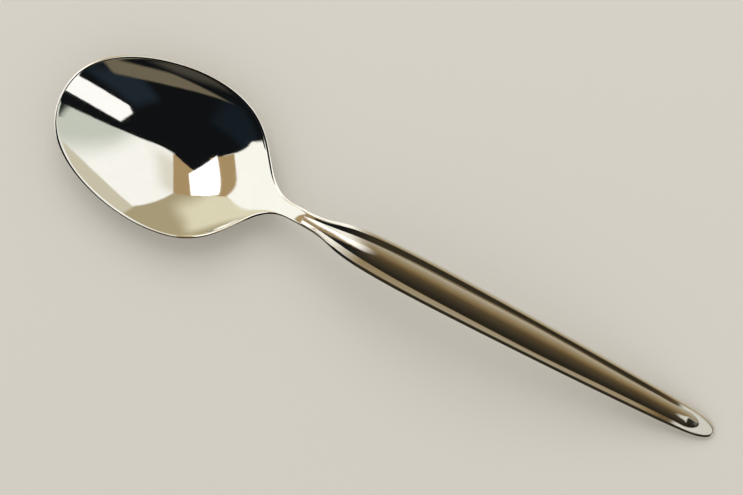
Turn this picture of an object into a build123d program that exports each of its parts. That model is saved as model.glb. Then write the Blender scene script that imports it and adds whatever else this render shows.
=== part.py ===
"""Soup spoon with a hollow handle, in millimetres.

+X runs from the bowl's tip to the handle's tip, +Y across the spoon and +Z up from the table.
Places along the bowl are counted from its tip, and places along the handle from the shoulder,
which is the line across the neck where the handle starts.
"""
import os
from math import cos, radians, sin, sqrt

import numpy as np
from build123d import *

# Bowl in plan: lengths from its tip to the widest place, the flank, the neck and the shoulder
bowl_front = 33.6
bowl_back = 25.4
flank_length = 11.0
neck_length = 4.0
bowl_width = 45.0
flank_width = 18.5
flank_angle = 51.7
neck_width = 4.7

# Bowl from the side: heights of the upper surface over the table
tip_height = 12.4
tip_slope = -0.56
low_offset = 0.4
rise_height = 7.5
shoulder_height = 13.9
shoulder_slope = 0.36

# Bowl across: walls, the broken edge of the rim, and radii of the hollow that narrows to the neck
bowl_wall = 1.3
rim_bevel = 0.3
neck_thickness = 2.9
bowl_radius = 32.0
neck_radius = 8.5
narrowing_length = 26.0

# Handle in plan: lengths from the shoulder to the widest place, the tip's start and the tip
handle_swell = 36.0
handle_taper = 77.0
handle_tip = 13.0
handle_width = 11.0
tip_start_width = 7.6
taper_slope = -0.05

# Handle from the side
crest_at = 42.0
crest_height = 21.4
grip_at = 76.0
grip_height = 15.9
tip_start_height = 4.7
tip_end_height = 1.42
tip_end_slope = -0.1

# Handle across: border, domed back and raised band
border_radius = 18.0
back_radius = 14.0
back_dome = 0.5
border_bevel = 0.2
back_fillet = 0.2
section_settles_at = 20.0
ridge_height = 1.5
ridge_run_in = 9.0
ridge_full_at = 46.0
ridge_radius = 4.8
ridge_end_height = 1.0
ridge_end_radius = 3.2
ridge_taper_length = 53.0
nose_length = 12.0
nose_sink = 0.25
nose_margin = 1.0

# Hollow handle: sheet, seam, hollow, tang and filler
sheet = 0.65
seam_depth = 0.72
solder_film = 0.12
border_grip = 0.5
hollow_corner = 0.1
hollow_end_margin = 12.0
tang_length = 46.0
tang_end_width = 2.0
tang_end_thickness = 0.7
filler_clearance = 0.05

# Reach of the cutting shapes past the spoon
overrun = 2.0
arc_reach = 0.92
sky = 40.0
floor = -10.0

# Worked out from the sizes above
widest_at = bowl_front
flank_at = widest_at + bowl_back
neck_at = flank_at + flank_length
bowl_length = neck_at + neck_length
taper_at = handle_swell + handle_taper
handle_length = taper_at + handle_tip
overall_length = bowl_length + handle_length
tip_x = -overall_length / 2
shoulder_x = tip_x + bowl_length
end_x = overall_length / 2
belly_radius = 0.75 * neck_width
handle_depth = 2 * seam_depth + back_dome
mouth_depth = neck_thickness * sqrt(1 + shoulder_slope**2)
mouth_seam_depth = 0.45 * mouth_depth
nose_to = handle_length - nose_margin
nose_from = nose_to - nose_length
ridge_tapers_from = nose_from - ridge_taper_length
ridge_root = seam_depth / 2
hollow_to = handle_length - hollow_end_margin
mouth_half_width = neck_width / 2 - sheet
tang_width = 0.75 * 2 * mouth_half_width
tang_thickness = 0.55 * (neck_thickness - 2 * sheet)
blank_height = sky - floor - overrun


def blend(place, start, stop, first, last):
    """Value that goes from first to last between two places, level at both ends."""
    t = min(max((place - start) / (stop - start), 0.0), 1.0)
    return first + (last - first) * t**3 * (10 - 15 * t + 6 * t * t)


def smooth_curve(knots, first_slope, last_slope):
    """Curve of even bend through the knots, run on straight past both ends."""
    place, value = np.array(knots, float).T
    gap = np.diff(place)
    rise = np.diff(value) / gap
    system = np.eye(len(place))
    slope = np.full(len(place), first_slope, float)
    slope[-1] = last_slope
    for i in range(1, len(place) - 1):
        system[i, i - 1 : i + 2] = 1 / gap[i - 1], 2 / gap[i - 1] + 2 / gap[i], 1 / gap[i]
        slope[i] = 3 * (rise[i - 1] / gap[i - 1] + rise[i] / gap[i])
    slope = np.linalg.solve(system, slope)

    def curve(x):
        if x <= place[0]:
            return float(value[0] + first_slope * (x - place[0]))
        if x >= place[-1]:
            return float(value[-1] + last_slope * (x - place[-1]))
        i = int(np.searchsorted(place, x)) - 1
        t = (x - place[i]) / gap[i]
        here = (1 + 2 * t) * (1 - t) ** 2 * value[i] + t * (1 - t) ** 2 * gap[i] * slope[i]
        there = t * t * (3 - 2 * t) * value[i + 1] + t * t * (t - 1) * gap[i] * slope[i + 1]
        return float(here + there)

    return curve


bowl_height = smooth_curve(
    [
        (0, tip_height),
        (widest_at + low_offset, bowl_wall),
        (flank_at, rise_height),
        (bowl_length, shoulder_height),
    ],
    tip_slope,
    shoulder_slope,
)
handle_height = smooth_curve(
    [
        (0, shoulder_height),
        (crest_at, crest_height),
        (grip_at, grip_height),
        (taper_at, tip_start_height),
        (handle_length, tip_end_height),
    ],
    shoulder_slope,
    tip_end_slope,
)


def bowl_bend(place):
    """Radius of the bowl's hollow across the spoon."""
    return blend(place, neck_at - narrowing_length, neck_at, bowl_radius, neck_radius)


def bowl_belly(place):
    """Height and radius of the bowl's underside at its middle."""
    slope = bowl_height(place + 0.5) - bowl_height(place - 0.5)
    wall = blend(place, neck_at - narrowing_length, neck_at, bowl_wall, neck_thickness)
    bend = 1 / (bowl_bend(place) + wall)
    bend = blend(place, flank_at, neck_at, bend, 1 / belly_radius)
    return bowl_height(place) - wall * sqrt(1 + slope**2), 1 / bend


def ridge_rise(place):
    """Height of the raised band over the middle of the border's hollow."""
    rise = blend(place, -ridge_run_in, ridge_full_at, 0, ridge_height)
    fall = blend(place, ridge_tapers_from, nose_from, 0, ridge_height - ridge_end_height)
    return rise - fall - blend(place, nose_from, nose_to, 0, ridge_end_height + nose_sink)


def ridge_bend(place):
    """Radius of the raised band across the handle."""
    return blend(place, ridge_tapers_from, nose_from, ridge_radius, ridge_end_radius)


def border_bend(place):
    """Radius of the border's hollow across the handle."""
    return 1 / blend(place, 0, section_settles_at, 1 / neck_radius, 1 / border_radius)


def back_bend(place):
    """Radius of the handle's domed back."""
    return 1 / blend(place, 0, section_settles_at, 1 / belly_radius, 1 / back_radius)


def back_height(place):
    """Height of the handle's back at its middle."""
    depth = blend(place, 0, section_settles_at, mouth_depth, handle_depth)
    return handle_height(place) - depth + blend(place, taper_at, handle_length, 0, back_dome)


def seam_height(place):
    """Height of the seam between the shells at its middle."""
    return handle_height(place) - blend(place, 0, section_settles_at, mouth_seam_depth, seam_depth)


def hollow_box(place, inset):
    """Half width, lower corner, bottom, upper corner and top of the hollow, drawn in by the inset."""
    rise = max(ridge_rise(place), 0)
    ridge_half_width = sqrt(2 * rise / (1 / ridge_bend(place) + 1 / border_bend(place)))
    half_width = max(mouth_half_width, ridge_half_width - border_grip)
    top = handle_height(place) + rise - sheet
    bottom = back_height(place) + sheet
    arch = half_width**2 / (2 * ridge_bend(place)) * rise / ridge_height
    dome = half_width**2 / (2 * back_radius)
    upper = top - hollow_corner - arch
    lower = bottom + hollow_corner + dome
    return half_width - inset, lower + inset, bottom + inset, upper - inset, top - inset


def tang_middle(place):
    """Height of the tang's middle, which follows the middle of the hollow."""
    box = hollow_box(place, 0)
    return (box[2] + box[4]) / 2


def runs_along(edge):
    """Whether an edge runs along the spoon, and neither straight up nor across it."""
    return edge.bounding_box().size.X > 0.1


def above(sections):
    """Everything over a surface of arcs, each with a place on X, a lowest height and a radius."""
    with BuildPart() as space:
        for x, height, radius in sections:
            reach = arc_reach * radius
            edge = height + radius - sqrt(radius**2 - reach**2)
            with BuildSketch(Plane.YZ.offset(x)):
                with BuildLine():
                    ThreePointArc((-reach, edge), (0, height), (reach, edge))
                    Polyline((reach, edge), (reach, sky), (-reach, sky), (-reach, edge))
                make_face()
        loft(clean=False)
    return space.part


def hollow(start, stop, inset):
    """The hollow inside the handle between two places, drawn in by the inset."""
    places = [start] + [p for p in hollow_places if start < p < stop] + [stop]
    with BuildPart() as space:
        for place in places:
            half, lower, bottom, upper, top = hollow_box(place, inset)
            with BuildSketch(Plane.YZ.offset(shoulder_x + place)):
                with BuildLine():
                    ThreePointArc((-half, upper), (0, top), (half, upper))
                    Line((half, upper), (half, lower))
                    ThreePointArc((half, lower), (0, bottom), (-half, lower))
                    Line((-half, lower), (-half, upper))
                make_face()
        loft(clean=False)
    return space.part


def tang(start, stop, grown):
    """The tang between two places along the handle, grown all round."""
    with BuildPart() as bar:
        for place in np.linspace(start, stop, tang_sections):
            width = blend(place, 0, tang_length, tang_width, tang_end_width) + 2 * grown
            depth = blend(place, 0, tang_length, tang_thickness, tang_end_thickness) + 2 * grown
            with BuildSketch(Plane.YZ.offset(shoulder_x + place)):
                with Locations((0, tang_middle(place))):
                    Rectangle(width, depth)
        loft(clean=False)
    return bar.part


# Places of the sections that the surfaces are lofted through
bowl_places = [-overrun, *np.linspace(0, bowl_length, 15), bowl_length + overrun]
handle_places = [-overrun, *np.linspace(handle_length / 18, handle_length, 18), handle_length + overrun]
ridge_places = [*np.linspace(0, nose_from, 12), *np.linspace(nose_from, nose_to, 6)[1:]]
hollow_places = np.linspace(0, hollow_to, 13)[1:-1]
tang_sections = 6

over_bowl = above([(tip_x + p, bowl_height(p), bowl_bend(p)) for p in bowl_places])
over_belly = above([(tip_x + p, *bowl_belly(p)) for p in bowl_places])
over_border = above([(shoulder_x + p, handle_height(p), border_bend(p)) for p in handle_places])
over_back = above([(shoulder_x + p, back_height(p), back_bend(p)) for p in handle_places])
half_film = solder_film / 2
over_film = above([(shoulder_x + p, seam_height(p) + half_film, border_bend(p)) for p in handle_places])
over_seam = above([(shoulder_x + p, seam_height(p) - half_film, border_bend(p)) for p in handle_places])
handle_hollow = hollow(-overrun, hollow_to, 0)

# Bowl, neck and tang in one piece
run_x = cos(radians(flank_angle))
run_y = sin(radians(flank_angle))
run_in = 0.33 * bowl_back
run_out = 0.31 * flank_length
with BuildLine(Plane.XY.offset(floor)) as bowl_plan:
    tip = (tip_x, 0)
    widest = (tip_x + widest_at, bowl_width / 2)
    flank = (tip_x + flank_at, flank_width / 2)
    neck = (tip_x + neck_at, neck_width / 2)
    Bezier(tip, (tip_x, 0.4 * bowl_width), (widest[0] - 0.29 * bowl_front, widest[1]), widest)
    Bezier(
        widest,
        (widest[0] + 0.63 * bowl_back, widest[1]),
        (flank[0] - run_in * run_x, flank[1] + run_in * run_y),
        flank,
    )
    Bezier(
        flank,
        (flank[0] + run_out * run_x, flank[1] - run_out * run_y),
        (neck[0] - 0.54 * flank_length, neck[1]),
        neck,
    )
    Polyline(neck, (shoulder_x, neck_width / 2), (shoulder_x, 0))
    mirror(about=Plane.XZ)
bowl_face = make_face(bowl_plan.edges())
with BuildPart() as bowl:
    extrude(bowl_face, amount=blank_height, clean=False)
    add(over_bowl, clean=False, mode=Mode.SUBTRACT)
    add(over_belly, clean=False, mode=Mode.INTERSECT)
    chamfer(bowl.edges().filter_by(runs_along), rim_bevel)
    add(tang(-overrun, tang_length, 0), clean=False)
bowl.part.label = "bowl"

# Outline of the handle, shared by both shells and the solder between them
tip_run = 0.41 * handle_tip
taper_run = 0.226 * handle_taper
with BuildLine(Plane.XY.offset(floor)) as handle_plan:
    mouth = (shoulder_x, neck_width / 2)
    swell = (shoulder_x + handle_swell, handle_width / 2)
    taper = (shoulder_x + taper_at, tip_start_width / 2)
    Bezier(
        mouth,
        (mouth[0] + 0.364 * handle_swell, mouth[1]),
        (swell[0] - 0.875 * handle_swell, swell[1]),
        swell,
    )
    Bezier(
        swell,
        (swell[0] + 0.21 * handle_taper, swell[1]),
        (taper[0] - taper_run, taper[1] - taper_slope * taper_run),
        taper,
    )
    Bezier(
        taper,
        (taper[0] + tip_run, taper[1] + taper_slope * tip_run),
        (end_x, 0.44 * tip_start_width),
        (end_x, 0),
    )
    Line((shoulder_x, 0), mouth)
    mirror(about=Plane.XZ)
handle_face = make_face(handle_plan.edges())

# Upper shell: border and raised band
with BuildPart() as handle_top_shell:
    extrude(handle_face, amount=blank_height, clean=False)
    add(over_border, clean=False, mode=Mode.SUBTRACT)
    border = handle_top_shell.faces().sort_by(Axis.Z)[-1]
    chamfer(border.edges().filter_by(runs_along), border_bevel)
    for place in ridge_places:
        radius = ridge_bend(place)
        depth = ridge_rise(place) + ridge_root
        root = handle_height(place) - ridge_root
        half = sqrt(2 * radius * depth - depth**2)
        with BuildSketch(Plane.YZ.offset(shoulder_x + place)):
            with BuildLine():
                ThreePointArc((-half, root), (0, root + depth), (half, root))
                Line((half, root), (-half, root))
            make_face()
    loft(clean=False)
    add(over_film, clean=False, mode=Mode.INTERSECT)
    add(handle_hollow, clean=False, mode=Mode.SUBTRACT)
handle_top_shell.part.label = "handle_top_shell"

# Lower shell: domed back
with BuildPart() as handle_back_shell:
    extrude(handle_face, amount=blank_height, clean=False)
    add(over_back, clean=False, mode=Mode.INTERSECT)
    dome = handle_back_shell.faces().sort_by(Axis.Z)[0]
    fillet(dome.edges().filter_by(runs_along), back_fillet)
    add(over_seam, clean=False, mode=Mode.SUBTRACT)
    add(handle_hollow, clean=False, mode=Mode.SUBTRACT)
handle_back_shell.part.label = "handle_back_shell"

# Solder film between the borders of the shells
with BuildPart() as seam_solder:
    extrude(handle_face, amount=blank_height, clean=False)
    add(over_seam, clean=False, mode=Mode.INTERSECT)
    add(over_film, clean=False, mode=Mode.SUBTRACT)
    add(handle_hollow, clean=False, mode=Mode.SUBTRACT)
seam_solder.part.label = "seam_solder"

# Cement bed round the tang
with BuildPart() as handle_filler:
    add(hollow(filler_clearance, hollow_to - filler_clearance, filler_clearance))
    pocket_length = tang_length + filler_clearance
    add(tang(-overrun, pocket_length, filler_clearance), clean=False, mode=Mode.SUBTRACT)
handle_filler.part.label = "handle_filler"

os.makedirs("parts", exist_ok=True)
for piece in (bowl, handle_top_shell, handle_back_shell, seam_solder, handle_filler):
    export_step(piece.part, f"parts/{piece.part.label}.step")
    print(piece.part.label, "volume", round(piece.part.volume, 1), "valid", piece.part.is_valid)
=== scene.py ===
"""Soup spoon with a hollow handle: smooth skins, finishes, studio and camera.

Lengths are in millimetres. +X runs from the bowl's tip to the handle's tip, +Y across and +Z up.
Places along the bowl are counted from its tip, and places along the handle from the shoulder, the
line across the neck where the handle starts.
"""
import logging
import math
from dataclasses import dataclass, field
from enum import Enum

import bmesh
import bpy
import numpy as np
from mathutils import Matrix, Vector


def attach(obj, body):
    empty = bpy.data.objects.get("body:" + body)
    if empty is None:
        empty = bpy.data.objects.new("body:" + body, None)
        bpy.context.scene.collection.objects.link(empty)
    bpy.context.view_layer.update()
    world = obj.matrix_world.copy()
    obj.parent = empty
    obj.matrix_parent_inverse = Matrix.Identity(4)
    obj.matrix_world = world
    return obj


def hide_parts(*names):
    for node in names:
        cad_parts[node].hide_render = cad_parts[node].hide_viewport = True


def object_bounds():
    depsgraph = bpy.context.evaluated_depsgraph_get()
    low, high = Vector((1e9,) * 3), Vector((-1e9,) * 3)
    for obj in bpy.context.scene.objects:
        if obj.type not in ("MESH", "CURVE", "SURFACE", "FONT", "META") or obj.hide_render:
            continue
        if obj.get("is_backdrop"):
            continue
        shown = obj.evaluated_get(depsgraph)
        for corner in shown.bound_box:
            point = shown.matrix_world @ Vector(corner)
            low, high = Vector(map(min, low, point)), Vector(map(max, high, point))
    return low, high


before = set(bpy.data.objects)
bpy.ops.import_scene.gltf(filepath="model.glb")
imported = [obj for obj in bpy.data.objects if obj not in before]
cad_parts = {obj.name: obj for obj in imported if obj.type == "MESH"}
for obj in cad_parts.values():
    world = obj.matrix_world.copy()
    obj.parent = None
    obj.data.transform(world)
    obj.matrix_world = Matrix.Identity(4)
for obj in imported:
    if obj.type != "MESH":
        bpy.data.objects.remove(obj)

log = logging.getLogger("spoon")
MM = 0.001

# Types: one number or many, a strip of points with its wear at both ends, and node colours
Array = np.ndarray
Values = float | Array
Strip = tuple[Array, float, float]
Colour = tuple[float, float, float, float]
Socket = bpy.types.NodeSocket
Tint = Colour | Socket


class Slot(Enum):
    """Material slots of the record."""

    POLISHED = "polished_steel"
    SATIN = "satin_steel"


class Node(Enum):
    """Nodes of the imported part."""

    BOWL = "bowl"
    TOP_SHELL = "handle_top_shell"
    BACK_SHELL = "handle_back_shell"
    SOLDER = "seam_solder"
    FILLER = "handle_filler"


# Curves and surfaces


def blend(place: Values, start: float, stop: float, first: Values, last: Values) -> Array:
    """Goes from first to last between two places, level at both ends.

    The step is ten t cubed, less fifteen t to the fourth, plus six t to the fifth.

    Args:
        place: Places along the spoon.
        start: Place where the change starts.
        stop: Place where it ends.
        first: Value before the change.
        last: Value after it.

    Returns:
        The value at each place.
    """
    t = np.clip((np.asarray(place, float) - start) / (stop - start), 0.0, 1.0)
    return first + (last - first) * t**3 * (10 - 15 * t + 6 * t**2)


def even_curve(place: Array, knots: list[tuple[float, float]], first: float, last: float) -> Array:
    """Cubic spline through the knots with set slopes at its ends, run on straight past both.

    Between two knots it is the Hermite cubic of their values and slopes, and the slopes at the
    inner knots are those at which the bend runs on evenly.

    Args:
        place: Places to read.
        knots: Place and value of each knot.
        first: Slope at the first knot.
        last: Slope at the last knot.

    Returns:
        The value at each place.
    """
    at, value = np.array(knots, float).T
    gap = np.diff(at)
    rise = np.diff(value) / gap
    inner = np.arange(1, len(at) - 1)
    system = np.eye(len(at))
    system[inner, inner - 1] = 1 / gap[:-1]
    system[inner, inner] = 2 / gap[:-1] + 2 / gap[1:]
    system[inner, inner + 1] = 1 / gap[1:]
    slope = np.full(len(at), first, float)
    slope[-1] = last
    slope[inner] = 3 * (rise[:-1] / gap[:-1] + rise[1:] / gap[1:])
    slope = np.linalg.solve(system, slope)
    inside = np.clip(place, at[0], at[-1])
    i = np.clip(np.searchsorted(at, inside) - 1, 0, len(at) - 2)
    t = (inside - at[i]) / gap[i]
    here = (1 + 2 * t) * (1 - t) ** 2 * value[i] + t * (1 - t) ** 2 * gap[i] * slope[i]
    there = t**2 * (3 - 2 * t) * value[i + 1] + t**2 * (t - 1) * gap[i] * slope[i + 1]
    return here + there + np.where(place < at[0], first, last) * (place - inside)


def arc_lift(y: Array, radius: Values) -> Array:
    """Height of a circular arc over its lowest point: the radius less its drop at a distance y."""
    return radius - np.sqrt(np.maximum(radius**2 - y**2, 0.0))


@dataclass
class Rim:
    """One half of an outline in plan, from one end of the axis round to the other.

    Attributes:
        edge: Points on the outline, one row each.
        inward: Unit vector in plan, square to the outline and into the piece.
    """

    edge: Array
    inward: Array

    @classmethod
    def through(cls, curves: list[list[tuple[float, float]]], steps: tuple[int, ...]) -> "Rim":
        """Joins cubic Bezier curves end to end.

        Each curve is the sum of its four points, weighted by the cubic Bernstein terms. Its
        tangent turned by a right angle points into the piece.

        Args:
            curves: Four control points of each curve.
            steps: Number of points on each curve.

        Returns:
            The joined half outline.
        """
        edges, inwards = [], []
        for points, count in zip(curves, steps):
            p = np.array(points, float)
            t = np.linspace(0, 1, count)[:, None]
            s = 1 - t
            edges.append(s**3 * p[0] + 3 * s**2 * t * p[1] + 3 * s * t**2 * p[2] + t**3 * p[3])
            run = s**2 * (p[1] - p[0]) + 2 * s * t * (p[2] - p[1]) + t**2 * (p[3] - p[2])
            normal = np.stack([run[:, 1], -run[:, 0]], 1)
            inwards.append(normal / np.linalg.norm(normal, axis=1)[:, None])
        edge = np.concatenate([edges[0]] + [e[1:] for e in edges[1:]])
        inward = np.concatenate([inwards[0]] + [n[1:] for n in inwards[1:]])
        return cls(edge, inward)

    def inset(self, distance: Values) -> Array:
        """The outline drawn in by a distance, square to itself."""
        return self.edge + self.inward * np.reshape(distance, (-1, 1))

    def with_bevel(self, at: int, width: float) -> "Rim":
        """Adds two points beside one end, so that the end can be bevelled and the rest stays even.

        Args:
            at: Index of the end, 0 or -1.
            width: Distance along X from the end to the first new point, and on to the second.

        Returns:
            The outline with two more points.
        """
        where, counts = (1, [1, 2]) if at == 0 else (len(self.edge) - 1, [2, 1])
        points = self.edge[at] + np.outer(counts, (width, 0))
        edge = np.insert(self.edge, where, points, axis=0)
        return Rim(edge, np.insert(self.inward, where, self.inward[[at, at]], axis=0))


def in_plan(place: Array, y: Values = 0.0) -> Array:
    """Points in plan from places along the spoon and distances across it."""
    return np.stack(np.broadcast_arrays(place, y), -1)


def on(plan: Array, height: Array) -> Array:
    """Points in space from points in plan and their heights."""
    return np.concatenate([plan, np.asarray(height)[..., None]], axis=-1)


def between(first: Array, last: Array, steps: Array) -> Array:
    """Straight lines from the first points to the last, at the given shares of the way."""
    return first[:, None] + (last - first)[:, None] * np.asarray(steps)[None, :, None]


def rounded(start: Array, corner: Array, stop: Array, steps: int, weight: Values = 0.6) -> Array:
    """Rounds a corner with a conic that leaves start and reaches stop along the corner's two sides.

    The point is the mean of start, corner and stop, weighted by one less t squared, by the weight
    times twice t times one less t, and by t squared.

    Args:
        start: Where the rounding leaves the first side.
        corner: The sharp corner.
        stop: Where it reaches the second side.
        steps: Number of points.
        weight: How far the curve leans into the corner.

    Returns:
        One row of points for each corner.
    """
    t = np.linspace(0, 1, steps)[None, :, None]
    a, c, b = (1 - t) ** 2, 2 * np.reshape(weight, (-1, 1, 1)) * t * (1 - t), t**2
    return (a * start[:, None] + c * corner[:, None] + b * stop[:, None]) / (a + c + b)


def sections(strips: list[Strip]) -> tuple[Array, Array]:
    """Joins strips of points side by side and closes them by their mirror image.

    The strips run from the axis round one half of the piece and back to the axis.

    Args:
        strips: For each strip its points, as sections by points by three, and the wear at its
            first and last point, which changes evenly in between.

    Returns:
        The closed sections, and one wear value for each point of a section.
    """
    half = np.concatenate([points for points, _, _ in strips], axis=1)
    wear = [np.linspace(first, last, points.shape[1]) for points, first, last in strips]
    wear = np.concatenate(wear)
    loops = np.concatenate([half, half[:, -2:0:-1] * (1, -1, 1)], axis=1)
    return loops, np.concatenate([wear, wear[-2:0:-1]])


def bevel_end(loops: Array, end: int, inset: float) -> Array:
    """Draws the section at one end in towards its middle, which breaks its edge.

    Args:
        loops: Closed sections along the piece.
        end: Index of the section.
        inset: Distance that its widest point moves in.

    Returns:
        The sections with the end drawn in.
    """
    loops = loops.copy()
    middle = (loops[end].max(axis=0) + loops[end].min(axis=0)) / 2
    share = 1 - inset / (loops[end, :, 1].max() - middle[1])
    loops[end, :, 1:] = middle[1:] + (loops[end, :, 1:] - middle[1:]) * share
    return loops


def add_object(name: str, data: bpy.types.ID) -> bpy.types.Object:
    """Puts an object with its data into the scene."""
    piece = bpy.data.objects.new(name, data)
    bpy.context.scene.collection.objects.link(piece)
    return piece


def write_values(mesh: bpy.types.Mesh, name: str, values: Array) -> None:
    """Writes one number for each point of a mesh as a named attribute."""
    layer = mesh.attributes.new(name, "FLOAT", "POINT")
    layer.data.foreach_set("value", values.astype(np.float32))


@dataclass
class Skin:
    """Closed surface made of sections along the spoon, with a wear value on each point.

    Attributes:
        name: Name of the mesh object.
        loops: Groups of closed sections, each as sections by points by three.
        wear: For each group, one value from 0 to 1 for each point of a section.
        caps: For each group, the ends that are closed by a flat face.
        weld: Points nearer to each other than this become one.
        speck: Edges shorter than this are taken out.
        sharp_angle: Angle between two faces, in degrees, from which their edge stays sharp.
    """

    name: str
    loops: list[Array]
    wear: list[Array]
    caps: list[list[int]]
    weld: float = 0.002
    speck: float = 0.001
    sharp_angle: float = 38.0

    def build(self) -> bpy.types.Object:
        """Joins neighbouring sections by quads, closes the seams and turns the faces outwards.

        Returns:
            The mesh object, in metres, at the origin.
        """
        points, faces, wear, base = [], [], [], 0
        for loops, share, ends in zip(self.loops, self.wear, self.caps):
            rows, count, _ = loops.shape
            index = base + np.arange(rows * count).reshape(rows, count)
            turn = np.roll(index, -1, axis=1)
            quads = np.stack([index[:-1], index[1:], turn[1:], turn[:-1]], axis=-1).reshape(-1, 4)
            faces += quads.tolist() + [index[end].tolist() for end in ends]
            points.append(loops.reshape(-1, 3) * MM)
            wear.append(np.tile(share, rows))
            base += rows * count
        mesh = bpy.data.meshes.new(self.name)
        mesh.from_pydata(np.concatenate(points), [], faces)
        write_values(mesh, "wear", np.concatenate(wear))
        work = bmesh.new()
        work.from_mesh(mesh)
        bmesh.ops.remove_doubles(work, verts=work.verts, dist=self.weld * MM)
        bmesh.ops.dissolve_degenerate(work, edges=work.edges, dist=self.speck * MM)
        bmesh.ops.recalc_face_normals(work, faces=work.faces)
        work.to_mesh(mesh)
        work.free()
        mesh.polygons.foreach_set("use_smooth", np.ones(len(mesh.polygons), bool))
        mesh.set_sharp_from_angle(angle=math.radians(self.sharp_angle))
        return add_object(self.name, mesh)


# Finishes


def linear(colour: str, strength: float = 1.0) -> Colour:
    """Turns an sRGB hex colour into linear red, green, blue and alpha, times a strength."""
    share = np.array([int(colour[i : i + 2], 16) for i in (1, 3, 5)]) / 255
    value = np.where(share <= 0.04045, share / 12.92, ((share + 0.055) / 1.055) ** 2.4)
    return (*(strength * value).tolist(), 1.0)


@dataclass
class Graph:
    """Nodes of a material or of the world, each linked up as it is added."""

    tree: bpy.types.NodeTree

    def __post_init__(self) -> None:
        """Clears the nodes that Blender puts into a new tree."""
        self.tree.nodes.clear()

    def node(self, kind: str, inputs: dict, **settings) -> bpy.types.Node:
        """Adds a node with its settings, values and links.

        Args:
            kind: Blender's name of the node type, after the words ShaderNode.
            inputs: Value or linked output for each input, by its name or number.
            **settings: Properties of the node.

        Returns:
            The new node.
        """
        node = self.tree.nodes.new(f"ShaderNode{kind}")
        for name, value in settings.items():
            setattr(node, name, value)
        for name, value in inputs.items():
            if isinstance(value, Socket):
                self.tree.links.new(value, node.inputs[name])
            else:
                node.inputs[name].default_value = value
        return node

    def out(self, kind: str, inputs: dict, output: int | str = 0, **settings) -> Socket:
        """Adds a node like the method before, and gives one of its outputs."""
        return self.node(kind, inputs, **settings).outputs[output]

    def place(self) -> Socket:
        """Place in the object's own coordinates, in metres."""
        return self.out("TexCoord", {}, "Object")

    def attribute(self, name: str) -> Socket:
        """Values that were written on the mesh."""
        return self.out("Attribute", {}, "Fac", attribute_name=name)

    def noise(self, place: Socket, scale: float, detail: float) -> Socket:
        """Cloudy noise from 0 to 1, finer with a larger scale."""
        return self.out("TexNoise", {"Vector": place, "Scale": scale, "Detail": detail})

    def math(self, operation: str, *values: Socket | float) -> Socket:
        """Result of one of Blender's operations on up to three values."""
        return self.out("Math", dict(enumerate(values)), operation=operation)

    def step(self, value: Socket, start: float, stop: float) -> Socket:
        """Smooth step from 0 at one value to 1 at another."""
        levels = {"Value": value, "From Min": start, "From Max": stop}
        return self.out("MapRange", levels, interpolation_type="SMOOTHSTEP")

    def mix(self, share: Socket, first: Tint, last: Tint) -> Socket:
        """Colour between two others, which the node takes as its inputs 6 and 7."""
        return self.out("Mix", {"Factor": share, 6: first, 7: last}, 2, data_type="RGBA")

    def finish(self, shader: Socket, kind: str = "OutputMaterial") -> None:
        """Hands the shader to the output."""
        self.node(kind, {"Surface": shader})


def new_material(name: str) -> tuple[bpy.types.Material, Graph]:
    """Makes a node material, and the graph for its nodes."""
    material = bpy.data.materials.new(name)
    material.use_nodes = True
    return material, Graph(material.node_tree)


@dataclass(frozen=True)
class Metal:
    """Metal with a finish made of fine lines, soft haze and worn edges.

    Attributes:
        name: Name of the material.
        colour: Colour of the metal, sRGB.
        worn_colour: Colour where edges are rubbed, sRGB.
        roughness: Roughness of the clean finish.
        roughness_spread: Most that haze and lines add to it.
        worn_roughness: Roughness of a rubbed edge.
        line_length: Length of a polishing line.
        line_gap: Distance between lines.
        line_depth: Strength of the bump that the lines give.
        haze_size: Size of a hazy patch.
        line_detail: How many finer copies the lines hold.
        haze_detail: How many finer copies the haze holds.
        fog_span: Products of haze and lines between which the roughness grows.
    """

    name: str
    colour: str
    worn_colour: str
    roughness: float
    roughness_spread: float
    worn_roughness: float
    line_length: float
    line_gap: float
    line_depth: float
    haze_size: float
    line_detail: float = 3.0
    haze_detail: float = 2.0
    fog_span: tuple[float, float] = (0.1, 0.45)

    def build(self) -> bpy.types.Material:
        """Makes the material.

        Returns:
            A node material that reads object coordinates and the wear attribute.
        """
        material, graph = new_material(self.name)
        here, wear = graph.place(), graph.attribute("wear")
        length, gap = self.line_length * MM, self.line_gap * MM
        stretch = (1 / length, 1 / gap, 1 / gap)
        along = graph.out("Mapping", {"Vector": here, "Scale": stretch})
        lines = graph.noise(along, 1.0, self.line_detail)
        haze = graph.noise(here, 1 / (self.haze_size * MM), self.haze_detail)
        fog = graph.math("MULTIPLY", haze, lines)
        thin, thick = self.fog_span
        levels = {"Value": fog, "From Min": thin, "From Max": thick, "To Min": self.roughness}
        levels["To Max"] = self.roughness + self.roughness_spread
        mixed = {"Factor": wear, 2: graph.out("MapRange", levels), 3: self.worn_roughness}
        rough = graph.out("Mix", mixed, data_type="FLOAT")
        worn = linear(self.worn_colour)
        colour = graph.mix(wear, graph.mix(fog, linear(self.colour), worn), worn)
        bump = graph.out("Bump", {"Height": lines, "Strength": self.line_depth, "Distance": gap})
        surface = {"Base Color": colour, "Metallic": 1.0, "Roughness": rough, "Normal": bump}
        graph.finish(graph.out("BsdfPrincipled", surface))
        return material


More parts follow.
